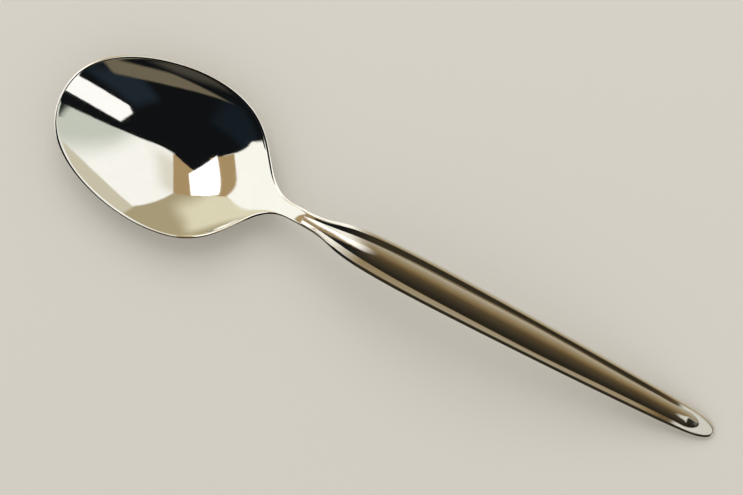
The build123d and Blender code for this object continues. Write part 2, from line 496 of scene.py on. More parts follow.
@dataclass(frozen=True)
class Cement:
    """Set cement: pale, dull and grainy.

    Attributes:
        name: Name of the material.
        colour: Colour of the set paste, sRGB.
        grain_colour: Colour of the grains, sRGB.
        grain: Size of a grain.
        grain_detail: How many finer copies the grains hold.
        relief: Strength of the bump that the grains give.
        roughness: Roughness of the surface.
    """

    name: str
    colour: str
    grain_colour: str
    grain: float
    grain_detail: float
    relief: float
    roughness: float

    def build(self) -> bpy.types.Material:
        """Makes the material.

        Returns:
            A node material that reads object coordinates.
        """
        material, graph = new_material(self.name)
        size = self.grain * MM
        grains = graph.noise(graph.place(), 1 / size, self.grain_detail)
        colour = graph.mix(grains, linear(self.colour), linear(self.grain_colour))
        bump = graph.out("Bump", {"Height": grains, "Strength": self.relief, "Distance": size})
        surface = {"Base Color": colour, "Roughness": self.roughness, "Normal": bump}
        graph.finish(graph.out("BsdfPrincipled", surface))
        return material


# Stainless steel buffed to a mirror: a clear, slightly warm reflection with hardly any haze.
# Buffing lines are far under 0.1 mm apart, so they are drawn coarser and very faint.
MIRROR_STEEL = Metal(
    name="stainless_steel_mirror_buffed",
    colour="#E7E5DF",
    worn_colour="#F0EEE8",
    roughness=0.02,
    roughness_spread=0.035,
    worn_roughness=0.1,
    line_length=9.0,
    line_gap=0.9,
    line_depth=0.004,
    haze_size=6.0,
)

# Stainless steel with a satin finish ground lengthwise: reflections are soft and a little darker,
# and edges are rubbed brighter. The lines are about 0.05 mm apart, so they are drawn coarser.
SATIN_STEEL = Metal(
    name="stainless_steel_satin_ground",
    colour="#CDC8BE",
    worn_colour="#E4E1D9",
    roughness=0.1,
    roughness_spread=0.04,
    worn_roughness=0.1,
    line_length=14.0,
    line_gap=0.35,
    line_depth=0.015,
    haze_size=8.0,
)

# Silver solder dressed flush with the border: a thin line, a little yellower than the steel.
SILVER_SOLDER = Metal(
    name="silver_solder_dressed_flush",
    colour="#BFB08C",
    worn_colour="#D3C8AC",
    roughness=0.34,
    roughness_spread=0.15,
    worn_roughness=0.3,
    line_length=3.0,
    line_gap=0.5,
    line_depth=0.1,
    haze_size=3.0,
)

# Cement that holds the tang, set inside the handle: chalky, with fine sand in it.
SET_CEMENT = Cement(
    name="cement_set_sandy",
    colour="#B9B2A4",
    grain_colour="#8E887C",
    grain=0.6,
    grain_detail=4.0,
    relief=0.4,
    roughness=0.9,
)


def dress(piece: bpy.types.Object, material: bpy.types.Material) -> None:
    """Gives every slot of a piece one material.

    Args:
        piece: Mesh object, new or carried over from the CAD model.
        material: The finish.
    """
    slots = piece.material_slots
    if not slots:
        piece.data.materials.append(material)
    for slot in slots:
        slot.material = material


# The spoon


@dataclass
class Bowl:
    """Bowl, neck, shoulder and tang in one piece.

    Sizes are those of the part, with roundings at the rim and the neck in place of its bevels. A
    reach says where a control point of a curve lies, as a share of the length beside it. Steps
    are the numbers of points that a curve or a strip is drawn with. Wear goes from 0, as finished,
    to 1, rubbed bright.
    """

    # Outline in plan
    tip_x: float
    front: float = 33.6
    back: float = 25.4
    flank_length: float = 11.0
    neck_length: float = 4.0
    width: float = 45.0
    flank_width: float = 18.5
    flank_angle: float = 51.7
    neck_width: float = 4.7
    tip_reach: float = 0.8
    front_reach: float = 0.71
    back_reach: float = 0.63
    flank_reach: float = 0.33
    throat_reach: float = 0.31
    neck_reach: float = 0.54

    # Side view and section
    tip_height: float = 12.4
    tip_slope: float = -0.56
    low_offset: float = 0.4
    rise_height: float = 7.5
    shoulder_height: float = 13.9
    shoulder_slope: float = 0.36
    slope_step: float = 0.5
    wall: float = 1.3
    neck_thickness: float = 2.9
    radius: float = 32.0
    neck_radius: float = 8.5
    belly_share: float = 0.75
    narrowing: float = 26.0

    # Roundings of the edges
    rim_width: float = 0.8
    rim_drop: float = 0.65
    rim_weight: float = 0.25
    belly_rounding: float = 0.45
    neck_rounding: float = 0.95
    neck_weight: float = 0.6
    end_bevel: float = 0.04
    rim_wear: tuple[float, float] = (0.2, 1.0)

    # How the surface is drawn
    spine_start: float = 15.0
    spine_settles_at: float = 40.0
    outline_steps: tuple[int, ...] = (120, 90, 56, 10)
    face_steps: int = 56
    lip_steps: int = 9
    keel_steps: int = 7

    def __post_init__(self) -> None:
        """Works out the places along the bowl from its lengths."""
        self.flank_at = self.front + self.back
        self.neck_at = self.flank_at + self.flank_length
        self.length = self.neck_at + self.neck_length
        self.narrows_from = self.neck_at - self.narrowing
        self.belly_radius = self.belly_share * self.neck_width
        self.shoulder_depth = self.neck_thickness * math.hypot(1, self.shoulder_slope)

    def height(self, place: Array) -> Array:
        """Height of the upper surface along the middle, an even curve from tip to shoulder."""
        knots = [
            (0.0, self.tip_height),
            (self.front + self.low_offset, self.wall),
            (self.flank_at, self.rise_height),
            (self.length, self.shoulder_height),
        ]
        return even_curve(place, knots, self.tip_slope, self.shoulder_slope)

    def bend(self, place: Array) -> Array:
        """Radius of the hollow across the bowl, which blends to the neck's radius."""
        return blend(place, self.narrows_from, self.neck_at, self.radius, self.neck_radius)

    def upper(self, plan: Array) -> Array:
        """Height of the upper surface: the middle line plus an arc across."""
        place, y = plan[..., 0], plan[..., 1]
        return self.height(place) + arc_lift(y, self.bend(place))

    def lower(self, plan: Array) -> Array:
        """Height of the underside: the middle line less the wall, plus a wider arc across.

        The wall is measured square to the middle line, and the arc tightens to the neck's belly.

        Args:
            plan: Points in plan, as places along the bowl and distances across.

        Returns:
            The height at each point.
        """
        place, y = plan[..., 0], plan[..., 1]
        rise = self.height(place + self.slope_step) - self.height(place - self.slope_step)
        slope = rise / (2 * self.slope_step)
        wall = blend(place, self.narrows_from, self.neck_at, self.wall, self.neck_thickness)
        bend = 1 / (self.bend(place) + wall)
        bend = blend(place, self.flank_at, self.neck_at, bend, 1 / self.belly_radius)
        return self.height(place) - wall * np.sqrt(1 + slope**2) + arc_lift(y, 1 / bend)

    def outline(self) -> Rim:
        """Half outline of the bowl in plan, from the tip to the shoulder.

        Returns:
            Three Bezier curves for tip, flank and neck, and a straight run to the shoulder.
        """
        run_x = math.cos(math.radians(self.flank_angle))
        run_y = math.sin(math.radians(self.flank_angle))
        side, flank, neck = self.width / 2, self.flank_width / 2, self.neck_width / 2
        run_in, run_out = self.flank_reach * self.back, self.throat_reach * self.flank_length
        third = self.neck_length / 3
        widest = (self.front, side)
        into = (self.flank_at, flank)
        thin = (self.neck_at, neck)
        end = (self.length, neck)
        curves = [
            [(0, 0), (0, self.tip_reach * side), (self.front_reach * self.front, side), widest],
            [
                widest,
                (self.front + self.back_reach * self.back, side),
                (into[0] - run_in * run_x, flank + run_in * run_y),
                into,
            ],
            [
                into,
                (into[0] + run_out * run_x, flank - run_out * run_y),
                (thin[0] - self.neck_reach * self.flank_length, neck),
                thin,
            ],
            [thin, (thin[0] + third, neck), (end[0] - third, neck), end],
        ]
        return Rim.through(curves, self.outline_steps).with_bevel(-1, -self.end_bevel)

    def skin(self) -> tuple[Array, Array]:
        """Closed sections of bowl and neck, and the wear along a section.

        Each section fans out from a point on the axis to a point on the rim, over the rounded
        edge and back under the bowl. Near the tip the points on the axis run ahead of the rim, so
        that the fan opens round the tip.

        Returns:
            The sections, and one wear value for each point of a section.
        """
        rim = self.outline()
        place = rim.edge[:, 0]
        axis = in_plan(place + blend(place, 0, self.spine_settles_at, self.spine_start, 0))
        width = blend(place, self.flank_at, self.neck_at, self.rim_width, self.neck_rounding)
        drop = blend(place, self.flank_at, self.neck_at, self.rim_drop, self.neck_rounding)
        weight = blend(place, self.flank_at, self.neck_at, self.rim_weight, self.neck_weight)
        inner, under = rim.inset(width), rim.inset(self.belly_rounding)
        share = np.linspace(0, 1, self.face_steps)
        face = between(axis, inner, share)
        belly = between(under, axis, share[1:])
        top, foot = on(rim.edge, self.upper(rim.edge)), on(rim.edge, self.lower(rim.edge))
        up = (0, 0, 1)
        side, heel = top - np.outer(drop, up), foot + np.multiply(self.belly_rounding, up)
        lip = rounded(on(inner, self.upper(inner)), top, side, self.lip_steps, weight)
        keel = rounded(heel, foot, on(under, self.lower(under)), self.keel_steps)
        strips = [
            (on(face, self.upper(face)), 0, 0),
            (lip[:, 1:], *self.rim_wear),
            (keel, *self.rim_wear[::-1]),
            (on(belly, self.lower(belly)), 0, 0),
        ]
        loops, wear = sections(strips)
        return bevel_end(loops, -1, self.end_bevel) + (self.tip_x, 0, 0), wear


@dataclass
class Handle:
    """Hollow handle: two pressed shells, the solder between their borders and the filling.

    Sizes are those of the part. The face that shows has a tighter band with a blunter nose, and
    a deeper border round it that ends in a rounded bead along the outline. Reaches, steps and wear
    are meant as for the bowl.
    """

    bowl: Bowl

    # Outline in plan
    swell: float = 36.0
    taper: float = 77.0
    tip: float = 13.0
    width: float = 11.0
    tip_start_width: float = 7.6
    taper_slope: float = -0.05
    swell_reach: tuple[float, float] = (0.364, 0.125)
    taper_reach: tuple[float, float] = (0.21, 0.226)
    tip_reach: tuple[float, float] = (0.41, 0.88)

    # Side view and section
    crest_at: float = 42.0
    crest_height: float = 21.4
    grip_at: float = 76.0
    grip_height: float = 15.9
    tip_start_height: float = 4.7
    tip_end_height: float = 1.42
    tip_end_slope: float = -0.1
    border_radius: float = 18.0
    back_radius: float = 14.0
    back_dome: float = 0.5
    settles_at: float = 20.0

    # Raised band of the part, which the hollow follows
    ridge_height: float = 1.5
    ridge_run_in: float = 9.0
    ridge_full_at: float = 46.0
    ridge_radii: tuple[float, float] = (4.8, 3.2)
    ridge_end_height: float = 1.0
    ridge_taper: float = 53.0
    nose_length: float = 12.0
    nose_sink: float = 0.25
    nose_margin: float = 1.0

    # Sheet, seam, hollow and tang
    sheet: float = 0.65
    seam_depth: float = 0.72
    mouth_seam_share: float = 0.45
    solder_film: float = 0.12
    border_grip: float = 0.5
    hollow_corner: float = 0.1
    hollow_end_margin: float = 12.0
    hollow_end_round: float = 3.0
    tang_length: float = 46.0
    tang_overlap: float = 1.0
    tang_width_share: float = 1.5
    tang_end_width: float = 2.0
    tang_thickness_share: float = 0.55
    tang_end_thickness: float = 0.7
    tang_corner: float = 0.4

    # Face that shows
    cove_radius: float = 14.0
    tip_cove_radius: float = 40.0
    mouth_lift: float = 0.11
    mouth_dip: float = 0.2
    dip_span: tuple[float, float, float] = (-5.0, 10.0, 28.0)
    band_radii: tuple[float, float] = (4.6, 3.2)
    band_nose: tuple[float, float] = (116.0, 123.5)
    band_sink: float = 0.19
    bead: float = 0.37
    bead_full_at: float = 12.0
    tip_bead: float = 0.1
    bead_width: float = 0.9
    bead_fall: float = 0.05
    bead_drop: float = 0.62
    bead_weight: float = 0.42
    back_rounding: float = 0.3
    crease_softness: float = 0.02
    curl_wear: tuple[float, float] = (0.3, 1.0)
    foot_wear: float = 0.4
    keel_wear: tuple[float, float] = (0.5, 0.1)

    # How the surfaces are drawn
    outline_steps: tuple[int, ...] = (100, 130, 70)
    nose_steps: int = 400
    band_steps: int = 28
    band_crowding: float = 1.5
    flange_steps: int = 20
    curl_steps: int = 13
    seam_steps: int = 6
    hollow_steps: int = 10
    keel_steps: int = 7
    dome_steps: int = 40
    tang_steps: tuple[int, int] = (40, 32)

    def __post_init__(self) -> None:
        """Works out the places along the handle and the sizes that follow from others."""
        self.taper_at = self.swell + self.taper
        self.length = self.taper_at + self.tip
        self.shoulder_x = self.bowl.tip_x + self.bowl.length
        self.depth = 2 * self.seam_depth + self.back_dome
        self.mouth_seam_depth = self.mouth_seam_share * self.bowl.shoulder_depth
        self.nose_to = self.length - self.nose_margin
        self.nose_from = self.nose_to - self.nose_length
        self.ridge_tapers_from = self.nose_from - self.ridge_taper
        self.hollow_to = self.length - self.hollow_end_margin
        self.mouth_half_width = self.bowl.neck_width / 2 - self.sheet
        self.tang_width = self.tang_width_share * self.mouth_half_width
        mouth_height = self.bowl.neck_thickness - 2 * self.sheet
        self.tang_thickness = self.tang_thickness_share * mouth_height

    def height(self, place: Array) -> Array:
        """Height of the border along the middle, an even curve from the shoulder to the tip."""
        knots = [
            (0.0, self.bowl.shoulder_height),
            (self.crest_at, self.crest_height),
            (self.grip_at, self.grip_height),
            (self.taper_at, self.tip_start_height),
            (self.length, self.tip_end_height),
        ]
        return even_curve(place, knots, self.bowl.shoulder_slope, self.tip_end_slope)

    def ridge_rise(self, place: Array) -> Array:
        """Height of the raised band over the border: a rise, a slow fall and the nose's fall."""
        rise = blend(place, -self.ridge_run_in, self.ridge_full_at, 0, self.ridge_height)
        ease = self.ridge_height - self.ridge_end_height
        fall = blend(place, self.ridge_tapers_from, self.nose_from, 0, ease)
        sink = self.ridge_end_height + self.nose_sink
        return rise - fall - blend(place, self.nose_from, self.nose_to, 0, sink)

    def narrowed(self, place: Array, radii: tuple[float, float]) -> Array:
        """Radius of a raised band across the handle, from its start to its nose."""
        return blend(place, self.ridge_tapers_from, self.nose_from, *radii)

    def settled(self, place: Array, radius: float) -> Array:
        """Radius of a hollow across the handle, blended as a curvature from the neck's."""
        return 1 / blend(place, 0, self.settles_at, 1 / self.bowl.neck_radius, 1 / radius)

    def cove_bend(self, place: Array) -> Array:
        """Radius of the border that shows, which flattens towards the tip."""
        ease = 1 / self.cove_radius - 1 / self.tip_cove_radius
        flat = blend(place, self.nose_from - self.tip, self.nose_from, 0, ease)
        return 1 / (1 / self.settled(place, self.cove_radius) - flat)

    def face(self, place: Array) -> Array:
        """Height of the face that shows along the middle: a little proud of the mouth, then low."""
        start, low, stop = self.dip_span
        fall = blend(place, start, low, self.mouth_lift, -self.mouth_dip)
        return self.height(place) + fall + blend(place, low, stop, 0, self.mouth_dip)

    def border(self, plan: Array) -> Array:
        """Height of the part's border: the middle line plus a wide arc across."""
        place, y = plan[..., 0], plan[..., 1]
        return self.height(place) + arc_lift(y, self.settled(place, self.border_radius))

    def sink(self, place: Array) -> Array:
        """Height of the cove's middle over the middle of the part's border.

        Both arcs meet at the outline, so it is the difference of their lifts there.

        Args:
            place: Places along the handle.

        Returns:
            The height, which is negative but for the mouth and the tip.
        """
        edge = self.outline().edge
        half = np.interp(place, edge[:, 0], edge[:, 1])
        wide = arc_lift(half, self.settled(place, self.border_radius))
        return wide - arc_lift(half, self.cove_bend(place))

    def cove(self, plan: Array) -> Array:
        """Height of the border that shows: the cove's middle plus a tighter arc across."""
        place, y = plan[..., 0], plan[..., 1]
        return self.face(place) + self.sink(place) + arc_lift(y, self.cove_bend(place))

    def standing(self, place: Array) -> Array:
        """Height of the band over the cove's middle, which falls steeply at its nose."""
        rise = self.ridge_rise(np.minimum(place, self.nose_from))
        fall = blend(place, *self.band_nose, 0, self.ridge_end_height + self.band_sink)
        return rise - fall - self.sink(place)

    def top(self, plan: Array) -> Array:
        """Height of the upper face: the higher of cove and raised band, with a soft crease.

        The soft maximum of two heights is half of their sum plus the root of the square of their
        difference and the square of the softness.

        Args:
            plan: Points in plan, as places along the handle and distances across.

        Returns:
            The height at each point.
        """
        place, y = plan[..., 0], plan[..., 1]
        cove = self.cove(plan)
        drop = arc_lift(y, self.narrowed(place, self.band_radii))
        band = self.face(place) + self.sink(place) + self.standing(place) - drop
        return (cove + band + np.sqrt((cove - band) ** 2 + self.crease_softness**2)) / 2

    def crease(self, small: Array, large: Array, rise: Array) -> Array:
        """Half width of a raised band: where its circle meets the circle of the border.

        With the distance between the two centres known, the half width is the height of the
        triangle that both radii make over it.

        Args:
            small: Radius of the band.
            large: Radius of the border's hollow.
            rise: Height of the band over the middle of the hollow.

        Returns:
            Distance of the crease from the axis, nought where the band has sunk away.
        """
        apart = small + large - rise
        foot = (apart**2 + small**2 - large**2) / (2 * apart)
        return np.sqrt(np.maximum(small**2 - foot**2, 0.0))

    def back(self, plan: Array) -> Array:
        """Height of the domed back: the middle line less the depth, plus an arc across."""
        place, y = plan[..., 0], plan[..., 1]
        depth = blend(place, 0, self.settles_at, self.bowl.shoulder_depth, self.depth)
        flat = blend(place, self.taper_at, self.length, 0, self.back_dome)
        bend = blend(place, 0, self.settles_at, 1 / self.bowl.belly_radius, 1 / self.back_radius)
        return self.height(place) - depth + flat + arc_lift(y, 1 / bend)

    def seam(self, plan: Array) -> Array:
        """Height of the middle of the seam: the border let down by the seam's depth."""
        depth = blend(plan[..., 0], 0, self.settles_at, self.mouth_seam_depth, self.seam_depth)
        return self.border(plan) - depth

    def hollow(self, place: Array) -> tuple[Array, Array, Array, Array, Array]:
        """Half width of the hollow, and its bottom, lower corner, upper corner and top.

        The half width follows the raised band and closes in a round end.

        Args:
            place: Places along the handle.

        Returns:
            Half width and four heights at each place.
        """
        rise = np.maximum(self.ridge_rise(place), 0)
        bend = self.narrowed(place, self.ridge_radii)
        crease = self.crease(bend, self.settled(place, self.border_radius), rise)
        half = np.maximum(self.mouth_half_width, crease - self.border_grip)
        past = (place - self.hollow_to + self.hollow_end_round) / self.hollow_end_round
        top = self.height(place) + rise - self.sheet
        bottom = self.back(in_plan(place)) + self.sheet
        arch = half**2 / (2 * bend) * rise / self.ridge_height
        upper = top - self.hollow_corner - arch
        lower = bottom + self.hollow_corner + half**2 / (2 * self.back_radius)
        return half * np.sqrt(1 - np.clip(past, 0, 1) ** 2), bottom, lower, upper, top

    def outline(self) -> Rim:
        """Half outline of the handle in plan, from the mouth to the tip.

        Returns:
            Three Bezier curves for swell, taper and tip.
        """
        neck, side, end = self.bowl.neck_width / 2, self.width / 2, self.tip_start_width / 2
        leave, reach = np.multiply(self.swell_reach, self.swell)
        run, run_in = np.multiply(self.taper_reach, self.taper)
        tip_run, tip_side = np.multiply(self.tip_reach, (self.tip, end))
        widest = (self.swell, side)
        thin = (self.taper_at, end)
        curves = [
            [(0, neck), (leave, neck), (reach, side), widest],
            [
                widest,
                (self.swell + run, side),
                (self.taper_at - run_in, end - self.taper_slope * run_in),
                thin,
            ],
            [
                thin,
                (self.taper_at + tip_run, end + self.taper_slope * tip_run),
                (self.length, tip_side),
                (self.length, 0),
            ],
        ]
        return Rim.through(curves, self.outline_steps).with_bevel(0, self.bowl.end_bevel)

    def inner_places(self, rim: Rim) -> Array:
        """Places of the points on the axis, which end at the band's nose and not at the tip."""
        place = np.linspace(*self.band_nose, self.nose_steps)
        nose = np.interp(0.0, -self.standing(place), place)
        edge = rim.edge[:, 0]
        return edge - blend(edge, self.taper_at - self.tip, self.length, 0, self.length - nose)

    def top_shell(self) -> Skin:
        """Upper shell: raised band, crease, border, bead, seam face and hollow.

        Over the border the bead's height comes in evenly, and its outer side is a conic that falls
        to the seam.

        Returns:
            The closed surface, one section for each point of the outline.
        """
        rim = self.outline()
        place = self.inner_places(rim)
        bends = self.narrowed(place, self.band_radii), self.cove_bend(place)
        crease = in_plan(place, self.crease(*bends, self.standing(place)))
        mouth, full, run = self.bowl.neck_rounding, self.bead_full_at, rim.edge[:, 0]
        width = blend(run, 0, full, mouth, self.bead_width)
        drop = blend(run, 0, full, mouth, self.bead_drop)
        weight = blend(run, 0, full, self.bowl.neck_weight, self.bead_weight)
        ease = blend(run, self.nose_from - self.tip, self.nose_from, 0, self.bead - self.tip_bead)
        bead = blend(run, 0, full, 0, self.bead) - ease
        lip = rim.inset(width)
        crest = self.top(lip) + bead
        crowded = 1 - np.linspace(1, 0, self.band_steps) ** self.band_crowding
        band = between(in_plan(place), crease, crowded)
        share = np.linspace(0, 1, self.flange_steps)[1:]
        flange = between(crease, lip, share)
        edge = self.border(rim.edge)
        side = on(rim.edge, edge - drop)
        corner = on(rim.edge, blend(run, 0, full, edge, crest - self.bead_fall))
        curl = rounded(on(lip, crest), corner, side, self.curl_steps, weight)
        deep = np.minimum(place, self.hollow_to)
        half, _, _, upper, top = self.hollow(deep)
        seam = between(rim.edge, in_plan(deep, half), np.linspace(0, 1, self.seam_steps))
        roof = np.linspace(1, 0, self.hollow_steps)
        arch = in_plan(deep[:, None], half[:, None] * roof)
        face = on(seam, self.seam(seam) + self.solder_film / 2)
        strips = [
            (on(band, self.top(band)), 0, 0),
            (on(flange, self.top(flange) + bead[:, None] * share), 0, 0),
            (curl[:, 1:], *self.curl_wear),
            (face[:, :1], self.foot_wear, self.foot_wear),
            (face[:, 1:], 0, 0),
            (on(arch, top[:, None] - (top - upper)[:, None] * roof**2), 0, 0),
        ]
        return self.shell(Node.TOP_SHELL, strips)

    def back_shell(self) -> Skin:
        """Lower shell: hollow, seam face, side and domed back with a rounded edge.

        Returns:
            The closed surface, one section for each point of the outline.
        """
        rim = self.outline()
        place = self.inner_places(rim)
        deep = np.minimum(place, self.hollow_to)
        half, bottom, lower, _, _ = self.hollow(deep)
        floor = np.linspace(0, 1, self.hollow_steps)
        bed = in_plan(deep[:, None], half[:, None] * floor)
        land = between(in_plan(deep, half), rim.edge, np.linspace(0, 1, self.seam_steps))
        foot = self.back(rim.edge)
        side = on(rim.edge, foot + self.back_rounding)
        inner = rim.inset(self.back_rounding)
        heel = on(inner, self.back(inner))
        keel = rounded(side, on(rim.edge, foot), heel, self.keel_steps)
        dome = between(inner, in_plan(place), np.linspace(0, 1, self.dome_steps)[1:])
        strips = [
            (on(bed, bottom[:, None] + (lower - bottom)[:, None] * floor**2), 0, 0),
            (on(land, self.seam(land) - self.solder_film / 2), 0, 0),
            (keel, *self.keel_wear),
            (on(dome, self.back(dome)), 0, 0),
        ]
        return self.shell(Node.BACK_SHELL, strips)

    def shell(self, node: Node, strips: list[Strip]) -> Skin:
        """Closes the strips of a shell, bevels its mouth and puts it in its place.

        Args:
            node: The node that the shell stands for.
            strips: Points and wear, from the axis to the axis.

        Returns:
            The closed surface.
        """
        loops, wear = sections(strips)
        loops = bevel_end(loops, 0, self.bowl.end_bevel) + (self.shoulder_x, 0, 0)
        return Skin(f"{node.value}_skin", [loops], [wear], [[0]])

    def tang(self) -> tuple[Array, Array]:
        """Closed sections of the tang, a bar that thins along the hollow's middle.

        A section is a superellipse: half the width and depth times the cosine and sine, each
        taken to a small power with its sign kept, which gives a rectangle with rounded corners.

        Returns:
            The sections, and no wear.
        """
        count, around = self.tang_steps
        place = np.linspace(-self.tang_overlap, self.tang_length, count)
        roof = self.height(place) + np.maximum(self.ridge_rise(place), 0)
        middle = (self.back(in_plan(place)) + roof) / 2
        width = blend(place, 0, self.tang_length, self.tang_width, self.tang_end_width)
        depth = blend(place, 0, self.tang_length, self.tang_thickness, self.tang_end_thickness)
        turn = np.linspace(0, 2 * np.pi, around, endpoint=False)
        round_way = np.stack([np.cos(turn), np.sin(turn)])
        across, up = np.sign(round_way) * np.abs(round_way) ** self.tang_corner
        plan = in_plan(place[:, None] + self.shoulder_x, width[:, None] / 2 * across)
        return on(plan, middle[:, None] + depth[:, None] / 2 * up), np.zeros(around)


@dataclass
class Spoon:
    """The whole spoon: new skins for what shows, and CAD nodes for solder and filling."""

    bowl: Bowl
    handle: Handle
    materials: dict[str, bpy.types.Material] = field(default_factory=dict)

    def material(self, finish: Metal | Cement) -> bpy.types.Material:
        """The material of a finish, which is made once."""
        if finish.name not in self.materials:
            self.materials[finish.name] = finish.build()
        return self.materials[finish.name]

    def place(self, skin: Skin, node: Node, slot: Slot, finish: Metal) -> None:
        """Builds one skin, dresses it and lets it stand for its node.

        Args:
            skin: The surface.
            node: The node that it replaces.
            slot: The record's slot for its finish; not used.
            finish: The finish.
        """
        piece = skin.build()
        dress(piece, self.material(finish))
        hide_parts(node.value)
        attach(piece, "root")
        log.info("%s: %d faces, %s", piece.name, len(piece.data.polygons), finish.name)

    def keep(self, node: Node, finish: Metal | Cement) -> None:
        """Dresses a CAD node that stays.

        Args:
            node: The node.
            finish: The finish.
        """
        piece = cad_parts[node.value]
        dress(piece, self.material(finish))
        log.info("%s: kept, %s", piece.name, finish.name)

    def build(self) -> None:
        """Builds the pieces from the bowl to the filling."""
        skin, wear = self.bowl.skin()
        tang, no_wear = self.handle.tang()
        bowl = Skin(f"{Node.BOWL.value}_skin", [skin, tang], [wear, no_wear], [[-1], [0, -1]])
        self.place(bowl, Node.BOWL, Slot.POLISHED, MIRROR_STEEL)
        self.place(self.handle.top_shell(), Node.TOP_SHELL, Slot.SATIN, SATIN_STEEL)
        self.place(self.handle.back_shell(), Node.BACK_SHELL, Slot.SATIN, SATIN_STEEL)
        self.keep(Node.SOLDER, SILVER_SOLDER)
        self.keep(Node.FILLER, SET_CEMENT)


# The studio


def towards(azimuth: Values, elevation: Values) -> Array:
    """Unit vectors of directions, with azimuth from +X to +Y and elevation from the horizon."""
    turn, tilt = np.radians(azimuth), np.radians(elevation)
    flat = np.cos(tilt)
    return np.stack([np.cos(turn) * flat, np.sin(turn) * flat, np.sin(tilt)], axis=-1)


@dataclass(frozen=True)
class Card:
    """Flat panel of the light tent, seen from the spoon.

    Attributes:
        colour: Colour of the panel, sRGB.
        corners: Azimuth and elevation of its corners in degrees, in order round a convex panel.
        strength: How brightly it is lit, where 1 shows its colour as written.
        softness: Width of the soft rim outside its edges, as the sine of an angle.
        shades: Panels that show on this one alone.
    """

    colour: str
    corners: tuple[tuple[float, float], ...]
    strength: float = 1.0
    softness: float = 0.02
    shades: tuple["Card", ...] = ()

    def edges(self) -> list[Array]:
        """Planes through the eye and each edge, turned towards the panel's middle.

        Returns:
            Unit normal of each plane: the cross product of two neighbouring corners.
        """
        corner = towards(*np.array(self.corners).T)
        normal = np.cross(corner, np.roll(corner, -1, axis=0))
        normal /= np.linalg.norm(normal, axis=1)[:, None]
        return list(normal * np.sign(normal @ corner.mean(axis=0))[:, None])

    def lay(self, graph: Graph, way: Socket, under: Tint) -> Socket:
        """Lays the panel with its shades over what lies under it.

        It covers the directions that lie on the inner side of all its edges.

        Args:
            graph: Nodes of the tent's material.
            way: Direction from the middle of the tent.
            under: Colour under the panel.

        Returns:
            The colour with the panel in place.
        """
        cover = 1.0
        for normal in self.edges():
            inside = graph.out("VectorMath", {0: way, 1: normal}, "Value", operation="DOT_PRODUCT")
            cover = graph.math("MULTIPLY", cover, graph.step(inside, -self.softness, 0.0))
        colour = linear(self.colour, self.strength)
        for shade in self.shades:
            colour = shade.lay(graph, way, colour)
        return graph.mix(cover, under, colour)


